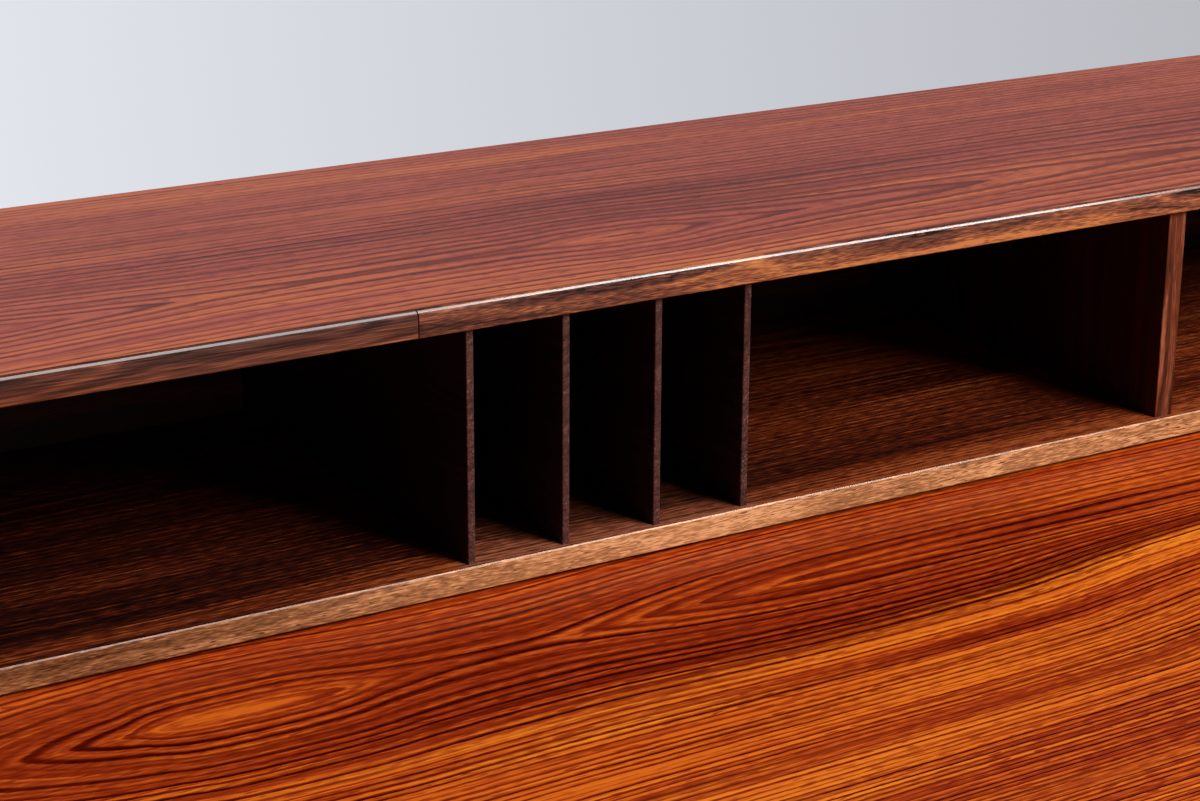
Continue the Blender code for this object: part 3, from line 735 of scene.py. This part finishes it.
def make_finishes():
    """Every finish of the desk, by the name of the piece it is for."""
    bright = (BRIGHT_RED, BRIGHT_ORANGE)
    deep = (DEEP_RED, DEEP_ORANGE)
    dark = (DARK_RED, DARK_BROWN)
    brown = (DARK_BROWN, CHOCOLATE)
    chocolate = (CHOCOLATE, CHOCOLATE)
    straw = (STRAW, STRAW)
    face_cut = SHEET_CUT._replace(axes="xzy", leaf=0.21)
    inside_cut = SHEET_CUT._replace(axes="xzy", seed=6.0)
    inside_upright_cut = UPRIGHT_CUT._replace(seed=6.0)
    lining_cut = SHEET_CUT._replace(seed=17.0)
    lining_side_cut = SHEET_CUT._replace(axes="yzx", seed=18.0)
    lining_back_cut = SHEET_CUT._replace(axes="xzy", seed=19.0)
    case = {"roughness": 0.32, "shine": 0.3}
    lipping = {"roughness": 0.15, "relief": 0.0}
    shaded_inside = {"roughness": 0.45}
    lining = {"roughness": 0.55}
    return {
        "gallery_top": wood(
            "gallery_top_veneer", deep, GALLERY_TOP_CUT, TOP_TONES, roughness=0.22, relief=0.00004
        ),
        "desktop": wood(
            "desktop_veneer", bright, DESKTOP_CUT, DESKTOP_TONES, roughness=0.2, relief=0.00005, shine=0.12
        ),
        "gallery_floor": wood(
            "gallery_floor_veneer", dark, GALLERY_FLOOR_CUT_WITH_PAINTED_LIGHT, FLOOR_TONES, roughness=0.36, shine=0.2
        ),
        "flat": wood("case_veneer", bright, SHEET_CUT, PLAIN_TONES, **case),
        "upright": wood("upright_veneer", bright, UPRIGHT_CUT, PLAIN_TONES, **case),
        "face": wood("face_veneer", bright, face_cut, PLAIN_TONES, roughness=0.30, shine=0.3),
        # The shaded inside finishes use the dark palettes as painted shade for faces inside the gallery and
        # the pedestals; the posts' sides also get a lower level.
        "shaded_inside": wood("shaded_inside_veneer", dark, inside_cut, PLAIN_TONES, **shaded_inside),
        "shaded_inside_upright": wood("shaded_inside_upright_veneer", dark, inside_upright_cut, SHADED_INSIDE_TONES, **shaded_inside),
        "lipping": wood("lipping_wood", brown, LIPPING_CUT, LIPPING_TONES, **lipping),
        "lipping_left": wood("lipping_left_wood", brown, LIPPING_LEFT_CUT, LIPPING_LEFT_TONES, **lipping),
        "end_lipping": wood("end_lipping_wood", chocolate, END_LIPPING_CUT, SOLID_TONES, roughness=0.24),
        "pale": wood(
            "pale_lipping_wood", (UMBER, GOLDEN), PALE_LIPPING_CUT, PALE_TONES, roughness=0.25, relief=0.0
        ),
        "divider": wood("divider_wood", (PURPLE, PURPLE), DIVIDER_CUT_WITH_PAINTED_SHADE, DIVIDER_TONES, roughness=0.42),
        "post": wood(
            "post_wood", (DARK_BROWN, DARK_BROWN), POST_CUT, POST_TONES, roughness=0.34, shine=0.3
        ),
        "leg": wood("leg_wood", chocolate, LEG_CUT, SOLID_TONES, roughness=0.28),
        "lining": wood("lining_wood", straw, lining_cut, LINING_TONES, **lining),
        "lining_side": wood("lining_side_wood", straw, lining_side_cut, LINING_TONES, **lining),
        "lining_back": wood("lining_back_wood", straw, lining_back_cut, LINING_TONES, **lining),
    }


FINISHES = {}


# Shapes

MERGE_DISTANCE = 1e-5
SEAM_DISTANCE = 1e-6
FLAT_ANGLE = math.radians(0.5)
SHARP_ANGLE = math.radians(30)
SMOOTH_ANGLE = math.radians(35)
EASE_STEPS = 2
ROUND_STEPS = 4
WORN_STEPS = 8
FACES_FRONT = -0.3
FACES_UP = 0.99
PANEL_ARRIS = 0.0001
JOINT_LINE = 0.0002
GLUE_OVERLAP = 0.00025
WIDEST_ROUND = 0.999
WORN_TILT = 40.0


def node_shape(node):
    """A CAD node's mesh as faces with whole outlines."""
    shape = bmesh.new()
    shape.from_mesh(frame["nodes"][node].data)
    bmesh.ops.remove_doubles(shape, verts=shape.verts, dist=MERGE_DISTANCE)
    bmesh.ops.dissolve_limit(shape, angle_limit=FLAT_ANGLE, verts=shape.verts, edges=shape.edges)
    return shape


def ease(shape, width):
    """Rounds the sharp edges of a shape."""
    sharp = [edge for edge in shape.edges if edge.is_manifold and edge.calc_face_angle() > SHARP_ANGLE]
    bmesh.ops.bevel(
        shape, geom=sharp, offset=width, segments=EASE_STEPS, profile=0.5, affect="EDGES", clamp_overlap=True
    )


def settle(piece):
    """Turns a piece's modifiers into plain mesh."""
    seen = piece.evaluated_get(bpy.context.evaluated_depsgraph_get())
    piece.data = bpy.data.meshes.new_from_object(seen)
    piece.modifiers.clear()


def smooth(piece):
    """Shades a piece smooth but for its sharp edges, with flat faces kept flat."""
    piece.data.shade_smooth()
    piece.data.set_sharp_from_angle(angle=SMOOTH_ANGLE)
    weights = piece.modifiers.new("normals", "WEIGHTED_NORMAL")
    weights.keep_sharp = True
    settle(piece)


def add_piece(name, shape, *materials):
    """Turns a shape into an object at the origin."""
    mesh = bpy.data.meshes.new(name)
    shape.to_mesh(mesh)
    shape.free()
    for material in materials:
        mesh.materials.append(material)
    piece = bpy.data.objects.new(name, mesh)
    bpy.context.scene.collection.objects.link(piece)
    smooth(piece)
    return piece


def stand_for(piece, body, *nodes):
    """The piece is shown in place of CAD nodes and moves with their body."""
    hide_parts(*nodes)
    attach(piece, body)


def show(node, shape, finishes, body=ROOT_BODY):
    """Shows a shape in place of a CAD node. Its faces' material indices count through the finishes."""
    materials = [FINISHES[finish] for finish in finishes]
    stand_for(add_piece(node + "_dressed", shape, *materials), body, node)


def dress(node, finish, width, body=ROOT_BODY, front=None):
    """A CAD node with eased edges and a finish, and perhaps another finish on its front edge."""
    shape = node_shape(node)
    ease(shape, width)
    for face in shape.faces:
        face.material_index = 1 if front and face.normal.y < FACES_FRONT else 0
    show(node, shape, (finish, front) if front else (finish,), body)


def arc(centre, radius, start, end, steps):
    """Points on an arc between two angles in degrees."""
    angles = [math.radians(start + (end - start) * step / steps) for step in range(steps + 1)]
    return [(centre[0] + radius * math.cos(angle), centre[1] + radius * math.sin(angle)) for angle in angles]


def worn_round(reach, flat, tilt):
    """A quarter round from its top to its face, with a worn flat that leans by the tilt in degrees."""
    sine, cosine = math.sin(math.radians(tilt)), math.cos(math.radians(tilt))
    share = (1 - sine) / cosine
    above = (reach - flat * cosine - (reach - flat * sine) * share) / (sine - (1 - cosine) * share)
    below = (reach - flat * sine - above * (1 - cosine)) / cosine
    upper = arc((0.0, reach - above), above, 90, 90 + tilt, ROUND_STEPS)
    return upper + arc((below - reach, 0.0), below, 90 + tilt, 180, WORN_STEPS)


def moulding_outline(width, height, upper, lower, flat, tilt):
    """A lipping's section, with its glued side at 0, its face at -width and its foot at 0."""
    outline = [(0.0, 0.0), (0.0, height)]
    outline += [(y + upper - width, z + height - upper) for y, z in worn_round(upper, flat, tilt)]
    outline += arc((lower - width, lower), lower, 180, 270, ROUND_STEPS)
    return outline


def moulding(node, upper, lower, turn, flat=0.0, tilt=WORN_TILT):
    """A lipping in a CAD node's place. Its face looks along -Y turned about Z by so many degrees."""
    low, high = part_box(node)
    middle = (low + high) / 2
    size = high - low
    length, width = (size.x, size.y) if turn in (0, 180) else (size.y, size.x)
    length -= 2 * JOINT_LINE
    outline = moulding_outline(width, size.z, min(upper, width * WIDEST_ROUND), lower, flat, tilt)
    outline = [(y + (GLUE_OVERLAP if y == 0.0 else 0.0) + width / 2, z) for y, z in outline]
    shape = bmesh.new()
    near, far = ([shape.verts.new((x, y, z)) for y, z in outline] for x in (-length / 2, length / 2))
    shape.faces.new(near)
    shape.faces.new(far)
    for index in range(len(outline)):
        shape.faces.new((near[index - 1], near[index], far[index], far[index - 1]))
    bmesh.ops.remove_doubles(shape, verts=shape.verts, dist=SEAM_DISTANCE)
    bmesh.ops.recalc_face_normals(shape, faces=shape.faces)
    place = Matrix.Translation((middle.x, middle.y, low.z)) @ Matrix.Rotation(math.radians(turn), 4, "Z")
    bmesh.ops.transform(shape, matrix=place, verts=shape.verts)
    return shape


# Geometry Nodes

LEG_SIDES = 64
LEG_RINGS = 72
LEG_SWELL = 0.75


class Tree:
    """A Geometry Nodes tree with named inputs."""

    node = Graph.node
    split = Graph.split

    def __init__(self, name, **sizes):
        self.tree = bpy.data.node_groups.new(name, "GeometryNodeTree")
        self.sizes = {}
        for size, value in sizes.items():
            kind = "NodeSocketInt" if isinstance(value, int) else "NodeSocketFloat"
            socket = self.tree.interface.new_socket(size, in_out="INPUT", socket_type=kind)
            self.sizes[socket.identifier] = value
        self.tree.interface.new_socket("Geometry", in_out="OUTPUT", socket_type="NodeSocketGeometry")
        self.inputs = self.tree.nodes.new("NodeGroupInput")

    def size(self, name):
        return Value(self, self.inputs.outputs[name])

    def xyz(self, x=0.0, y=0.0, z=0.0):
        return self.node("ShaderNodeCombineXYZ", {}, {0: x, 1: y, 2: z})

    def end(self, geometry, material):
        solid = self.node("GeometryNodeRealizeInstances", {}, {0: geometry})
        painted = self.node("GeometryNodeSetMaterial", {}, {"Geometry": solid, "Material": material})
        self.node("NodeGroupOutput", {}, {0: painted}, None)

    def piece(self, name):
        """The tree's result as a plain mesh object at the origin."""
        holder = bpy.data.objects.new(name, bpy.data.meshes.new(name))
        bpy.context.scene.collection.objects.link(holder)
        step = holder.modifiers.new("shape", "NODES")
        step.node_group = self.tree
        for identifier, value in self.sizes.items():
            step[identifier] = value
        settle(holder)
        smooth(holder)
        return holder


def divider_tree(material):
    """A row of thin boards with rounded front and rear edges, standing on a line."""
    first_low, first_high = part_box(DIVIDERS[0])
    last_low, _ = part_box(DIVIDERS[-1])
    size = first_high - first_low
    tree = Tree(
        "letter_rack",
        Count=len(DIVIDERS),
        Pitch=(last_low.x - first_low.x) / (len(DIVIDERS) - 1),
        Thickness=size.x,
        Depth=size.y,
        Height=size.z,
        Round=edges().divider_round,
    )
    plan = tree.node(
        "GeometryNodeCurvePrimitiveQuadrilateral",
        {},
        {"Width": tree.size("Thickness"), "Height": tree.size("Depth")},
    )
    rounded = tree.node(
        "GeometryNodeFilletCurve",
        {"mode": "POLY"},
        {"Curve": plan, "Count": ROUND_STEPS, "Radius": tree.size("Round")},
    )
    base = tree.node("GeometryNodeFillCurve", {"mode": "NGONS"}, {"Curve": rounded})
    raised = tree.node(
        "GeometryNodeExtrudeMesh",
        {"mode": "FACES"},
        {"Mesh": base, "Offset": tree.xyz(z=tree.size("Height")), "Offset Scale": 1.0},
    )
    under = tree.node("GeometryNodeFlipFaces", {}, {"Mesh": base})
    board = tree.node("GeometryNodeJoinGeometry", {}, {0: raised})
    tree.tree.links.new(under.socket, board.socket.node.inputs[0])
    closed = tree.node("GeometryNodeMergeByDistance", {}, {"Geometry": board, "Distance": SEAM_DISTANCE})
    start = Vector(((first_low.x + first_high.x) / 2, (first_low.y + first_high.y) / 2, first_low.z))
    line = tree.node(
        "GeometryNodeMeshLine",
        {},
        {"Count": tree.size("Count"), "Start Location": start, "Offset": tree.xyz(x=tree.size("Pitch"))},
    )
    row = tree.node("GeometryNodeInstanceOnPoints", {}, {"Points": line, "Instance": closed})
    tree.end(row, material)
    return tree


def leg_tree(material, shoulder):
    """A turned leg at each corner of the desk, straight above its shoulder and tapered with a swell below."""
    low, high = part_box(LEGS[0])
    far_low, far_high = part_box(LEGS[-1])
    middle = (low + high) / 2
    far = (far_low + far_high) / 2
    tree = Tree(
        "turned_legs",
        Radius=(high.y - low.y) / 2,
        Foot=edges().leg_foot,
        Height=high.z - low.z,
        Shoulder=shoulder,
        Swell=LEG_SWELL,
        Flat=edges().leg_flat,
        SpreadX=far.x - middle.x,
        SpreadY=far.y - middle.y,
    )
    stock = tree.node(
        "GeometryNodeMeshCylinder",
        {"fill_type": "NGON"},
        {"Vertices": LEG_SIDES, "Side Segments": LEG_RINGS, "Radius": 1.0, "Depth": tree.size("Height")},
    )
    x, y, z = tree.split(tree.node("GeometryNodeInputPosition"))
    height = z + tree.size("Height") / 2.0
    share = (height / tree.size("Shoulder")).math("MINIMUM", 1.0).math("MAXIMUM", 0.0)
    radius = tree.size("Foot") + (tree.size("Radius") - tree.size("Foot")) * share ** tree.size("Swell")
    above = height.math("GREATER_THAN", tree.size("Shoulder"))
    plane = tree.size("Radius") - tree.size("Flat") * above
    spot = tree.xyz((x * radius).math("MINIMUM", plane), y * radius, height)
    shaped = tree.node("GeometryNodeSetPosition", {}, {"Geometry": stock, "Position": spot})
    corners = tree.node(
        "GeometryNodeMeshGrid",
        {},
        {"Size X": tree.size("SpreadX"), "Size Y": tree.size("SpreadY"), "Vertices X": 2, "Vertices Y": 2},
    )
    corner_x, _, _ = tree.split(tree.node("GeometryNodeInputPosition"))
    turned = tree.xyz(z=corner_x.math("GREATER_THAN", 0.0) * math.pi)
    standing = tree.node(
        "GeometryNodeInstanceOnPoints",
        {},
        {"Points": corners, "Instance": shaped, "Rotation": turned},
    )
    tree.end(standing, material)
    return tree


# Pieces

LEG_SHOULDER = 0.020
FLOOR_TILT = 37.0
FLOOR_FLAT_SHARE = 0.65
DESKTOP_EDGES = (
    ("front", 0, "lipping"),
    ("right", 90, "end_lipping"),
    ("rear", 180, "lipping"),
    ("left", 270, "end_lipping"),
)
GALLERY_SIDES = (("left", "lipping_left"), ("right", "lipping"))
PEDESTAL_FINISHES = {
    "outer_side": "upright",
    "inner_side": "upright",
    "bottom": "flat",
    "top": "flat",
    # The partition takes the painted-shade inside finish.
    "partition": "shaded_inside",
    "shelf": "flat",
}
DRAWER_BOX_FINISHES = {
    "left_side": "lining_side",
    "right_side": "lining_side",
    "back": "lining_back",
    "bottom": "lining",
}


class DESK_OT_desktop(bpy.types.Operator):
    """Dress the desktop's panel and lippings"""

    bl_idname = "desk.desktop"
    bl_label = "Desktop"

    def execute(self, context):
        dress("desktop_panel", "desktop", PANEL_ARRIS)
        for side, turn, finish in DESKTOP_EDGES:
            node = f"desktop_{side}_lipping"
            show(node, moulding(node, edges().desktop_round, edges().floor_round, turn), (finish,))
        return {"FINISHED"}


class DESK_OT_gallery(bpy.types.Operator):
    """Dress the gallery's case: top, floor, ends, back, posts and lippings"""

    bl_idname = "desk.gallery"
    bl_label = "Gallery case"

    def execute(self, context):
        dress("gallery_top", "gallery_top", PANEL_ARRIS)
        dress("gallery_floor", "gallery_floor", PANEL_ARRIS)
        # The back's inner face takes the painted-shade inside finish.
        dress("gallery_back", "face", edges().arris, front="shaded_inside")
        low_round = edges().floor_round
        worn = edges().worn_flat
        for side, finish in GALLERY_SIDES:
            dress(f"gallery_{side}_end", "upright", edges().arris)
            # The posts' sides take the painted-shade inside finish, and their fronts the post finish.
            dress(f"gallery_{side}_post", "shaded_inside_upright", edges().arris, front="post")
            node = f"gallery_top_lipping_{side}"
            show(node, moulding(node, edges().lipping_round, low_round, 0, worn), (finish,))
        node = "gallery_floor_lipping"
        shape = moulding(node, low_round, low_round, 0, worn * FLOOR_FLAT_SHARE, FLOOR_TILT)
        for face in shape.faces:
            face.material_index = 1 if face.normal.z > FACES_UP else 0
        show(node, shape, ("pale", "gallery_floor"))
        return {"FINISHED"}


class DESK_OT_letter_rack(bpy.types.Operator):
    """Stand the letter dividers in their row"""

    bl_idname = "desk.letter_rack"
    bl_label = "Letter rack"

    def execute(self, context):
        piece = divider_tree(FINISHES["divider"]).piece("letter_rack")
        stand_for(piece, ROOT_BODY, *DIVIDERS)
        return {"FINISHED"}


class DESK_OT_legs(bpy.types.Operator):
    """Turn the legs"""

    bl_idname = "desk.legs"
    bl_label = "Legs"

    def execute(self, context):
        pedestal_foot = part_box("left_pedestal_bottom")[0].z
        piece = leg_tree(FINISHES["leg"], pedestal_foot - LEG_SHOULDER).piece("turned_legs")
        stand_for(piece, ROOT_BODY, *LEGS)
        return {"FINISHED"}


class DESK_OT_pedestals(bpy.types.Operator):
    """Dress the two pedestals"""

    bl_idname = "desk.pedestals"
    bl_label = "Pedestals"

    def execute(self, context):
        for side in ("left", "right"):
            for piece, finish in PEDESTAL_FINISHES.items():
                dress(f"{side}_pedestal_{piece}", finish, edges().arris)
        return {"FINISHED"}


class DESK_OT_drawers(bpy.types.Operator):
    """Dress the drawers"""

    bl_idname = "desk.drawers"
    bl_label = "Drawers"

    def execute(self, context):
        for drawer in DRAWERS:
            dress(f"{drawer}_front", "face", edges().front_arris, drawer)
            for piece, finish in DRAWER_BOX_FINISHES.items():
                dress(f"{drawer}_{piece}", finish, edges().box_arris, drawer)
        return {"FINISHED"}


# Stage

EYE = Vector((-0.7125, -1.0943, 1.2881))
YAW = 31.04
PITCH = 18.516
ROLL = 0.307
LENS = 80.02
SENSOR_WIDTH = 36.0
NEAREST_SEEN = 0.05

BACKDROP_LEVEL = 0.993
BACKDROP_FALL = 0.715
BACKDROP_LEAST = 0.42
BACKDROP_RED = 0.975
BACKDROP_BLUE = 1.075
FILL_COLOUR = (0.95, 0.98, 1.0, 1.0)
SKY = ((-1.0, 0.3), (0.15, 0.31), (0.25, 0.28), (0.31, 0.26), (0.35, 0.16), (0.40, 0.08), (1.0, 0.06))

FLOOR_RADIUS = 3.4
FLOOR_SIDES = 96
FLOOR_FADE = (1.8, 3.3)

KEY_PLACE = (2.25, -3.25, 3.80)
KEY_TARGET = (0.0, 0.1, 0.8)
KEY_SIZE = (2.6, 2.6)
REAR_PLACE = (-1.60, 3.60, 1.30)
REAR_TARGET = (0.0, 0.3, 0.5)
REAR_SIZE = (2.4, 1.6)

# The lights overhead, in one row: name, place along the row, size and share of the power

STRIP_Y = -0.22
STRIP_HEIGHT = 2.90
STRIPS = (
    ("strip_light", 1.52, (1.16, 0.16), 0.35),
    ("end_light", 0.37, (1.14, 0.4), 0.3),
    ("far_light", 2.50, (0.8, 0.4), 0.10),
)


def soft_light(name, place, target, size, power, glossy=True, diffuse=True):
    """A rectangular lamp that faces a point, perhaps only for reflections or only for the rest."""
    lamp = bpy.data.lights.new(name, "AREA")
    lamp.shape = "RECTANGLE"
    lamp.size, lamp.size_y = size
    lamp.energy = power
    holder = bpy.data.objects.new(name, lamp)
    holder.location = place
    holder.rotation_euler = (Vector(target) - Vector(place)).to_track_quat("-Z", "Y").to_euler()
    holder.visible_glossy = glossy
    holder.visible_diffuse = diffuse
    bpy.context.scene.collection.objects.link(holder)


def light_world(fill):
    """A pale backdrop for the camera, a darker sky for reflections, and a weak light from all round."""
    world = bpy.data.worlds.new("studio")
    world.use_nodes = True
    bpy.context.scene.world = world
    graph = Graph(world.node_tree)
    east, _, up = graph.split(graph.node("ShaderNodeTexCoord", output="Generated"))
    level = (BACKDROP_LEVEL - east * BACKDROP_FALL).math("MINIMUM", 1.0).math("MAXIMUM", BACKDROP_LEAST)
    sky = level * graph.curve(up, SKY)
    kinds = ("Camera", "Glossy", "Transmission")
    rays = [graph.node("ShaderNodeLightPath", output=f"Is {kind} Ray") for kind in kinds]
    camera, glossy, transmission = rays
    shown = camera * level + (1.0 - camera) * sky
    colour = {0: shown * BACKDROP_RED, 1: shown, 2: shown * BACKDROP_BLUE}
    tint = graph.node("ShaderNodeCombineColor", {}, colour)
    seen = (camera + glossy + transmission).math("MINIMUM", 1.0)
    backdrop = graph.node("ShaderNodeBackground", {}, {"Color": tint, "Strength": 1.0})
    around = graph.node("ShaderNodeBackground", {}, {"Color": FILL_COLOUR, "Strength": fill})
    both = graph.node("ShaderNodeMixShader", {}, {0: seen, 1: around, 2: backdrop})
    graph.node("ShaderNodeOutputWorld", {}, {0: both}, None)


def lay_floor(colour):
    """A round pale floor that fades into the backdrop."""
    shape = bmesh.new()
    bmesh.ops.create_circle(shape, cap_ends=True, segments=FLOOR_SIDES, radius=FLOOR_RADIUS)
    floor = add_piece("studio_floor", shape)
    material, graph = new_material("studio_floor")
    x, y, _ = graph.point("xyz")
    edge = (x * x + y * y).math("SQRT").step(*FLOOR_FADE)
    paint = graph.node("ShaderNodeBsdfDiffuse", {}, {"Color": (*colour, 1.0)})
    clear = graph.node("ShaderNodeBsdfTransparent")
    both = graph.node("ShaderNodeMixShader", {}, {0: edge, 1: paint, 2: clear})
    graph.node("ShaderNodeOutputMaterial", {}, {"Surface": both}, None)
    floor.data.materials.append(material)


def set_camera(scene):
    """A camera at the photograph's point of view."""
    lens = bpy.data.cameras.new("photo_view")
    lens.sensor_fit = "HORIZONTAL"
    lens.sensor_width = SENSOR_WIDTH
    lens.lens = LENS
    lens.clip_start = NEAREST_SEEN
    camera = bpy.data.objects.new("photo_view", lens)
    turn = Matrix.Rotation(math.radians(-YAW), 4, "Z") @ Matrix.Rotation(math.radians(90 - PITCH), 4, "X")
    camera.matrix_world = Matrix.Translation(EYE) @ turn @ Matrix.Rotation(math.radians(ROLL), 4, "Z")
    scene.collection.objects.link(camera)
    scene.camera = camera


class DESK_OT_stage(bpy.types.Operator):
    """Set the floor, the lights and the camera"""

    bl_idname = "desk.stage"
    bl_label = "Stage"

    def execute(self, context):
        scene = context.scene
        stage = scene.desk_stage
        scene.view_settings.view_transform = "Standard"
        light_world(stage.fill)
        lay_floor(stage.floor_colour)
        soft_light("key_light", KEY_PLACE, KEY_TARGET, KEY_SIZE, stage.key_power, glossy=False)
        for name, x, size, share in STRIPS:
            place = (x, STRIP_Y, STRIP_HEIGHT)
            below = (x, STRIP_Y, 0.0)
            soft_light(name, place, below, size, stage.strip_power * share, diffuse=False)
        soft_light("rear_light", REAR_PLACE, REAR_TARGET, REAR_SIZE, stage.rear_power, glossy=False)
        set_camera(scene)
        return {"FINISHED"}


class DESK_PT_panel(bpy.types.Panel):
    """The steps that dress the desk"""

    bl_label = "Desk"
    bl_idname = "DESK_PT_panel"
    bl_space_type = "VIEW_3D"
    bl_region_type = "UI"
    bl_category = "Desk"

    def draw(self, context):
        for step in STEPS:
            self.layout.operator(step.bl_idname)
        for group in (context.scene.desk_edges, context.scene.desk_stage):
            for name in group.__annotations__:
                self.layout.prop(group, name)


STEPS = (
    DESK_OT_stage,
    DESK_OT_desktop,
    DESK_OT_gallery,
    DESK_OT_letter_rack,
    DESK_OT_legs,
    DESK_OT_pedestals,
    DESK_OT_drawers,
)
CLASSES = (DeskEdges, DeskStage, *STEPS, DESK_PT_panel)


def register():
    for cls in CLASSES:
        bpy.utils.register_class(cls)
    bpy.types.Scene.desk_edges = bpy.props.PointerProperty(type=DeskEdges)
    bpy.types.Scene.desk_stage = bpy.props.PointerProperty(type=DeskStage)


def unregister():
    del bpy.types.Scene.desk_stage
    del bpy.types.Scene.desk_edges
    for cls in reversed(CLASSES):
        bpy.utils.unregister_class(cls)


def main():
    register()
    FINISHES.update(make_finishes())
    for step in STEPS:
        group, name = step.bl_idname.split(".")
        getattr(getattr(bpy.ops, group), name)()


if __name__ == "__main__":
    main()
